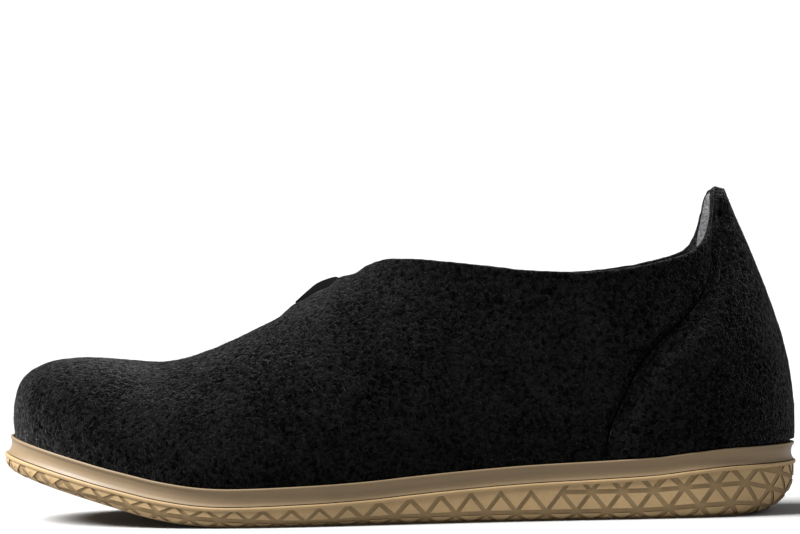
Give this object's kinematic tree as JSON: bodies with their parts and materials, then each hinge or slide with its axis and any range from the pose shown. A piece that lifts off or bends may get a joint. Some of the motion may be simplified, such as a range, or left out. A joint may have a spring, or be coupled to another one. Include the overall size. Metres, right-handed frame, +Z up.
{
  "type": "felt slipper",
  "caption": "Closed slip-on house slipper of boiled wool felt with a pointed heel tab, an elastic throat insert and a two-tone rubber sole.",
  "frame": {"origin": "on the floor, at the centre of the box that holds the standing slipper", "axes": "+X along the length from the toe to the heel, so the toe points to -X; +Y across, to the inner side of the foot, with the outer side to -Y; +Z up"},
  "size_m": [0.2651, 0.095, 0.1082],
  "materials": {
    "outsole": "matt gum rubber with a raised triangle pattern on its side",
    "midsole": "smooth satin foam rubber",
    "insole": "light grey felt",
    "upper": "black boiled wool felt with a short nap",
    "heel_counter": "black boiled wool felt with a short nap",
    "throat_gore": "fine ribbed black elastic"
  },
  "bodies": {
    "root": {"outsole": "outsole", "midsole": "midsole", "insole": "insole", "upper": "upper", "heel_counter": "heel_counter", "throat_gore": "throat_gore"}
  },
  "joints": []
}
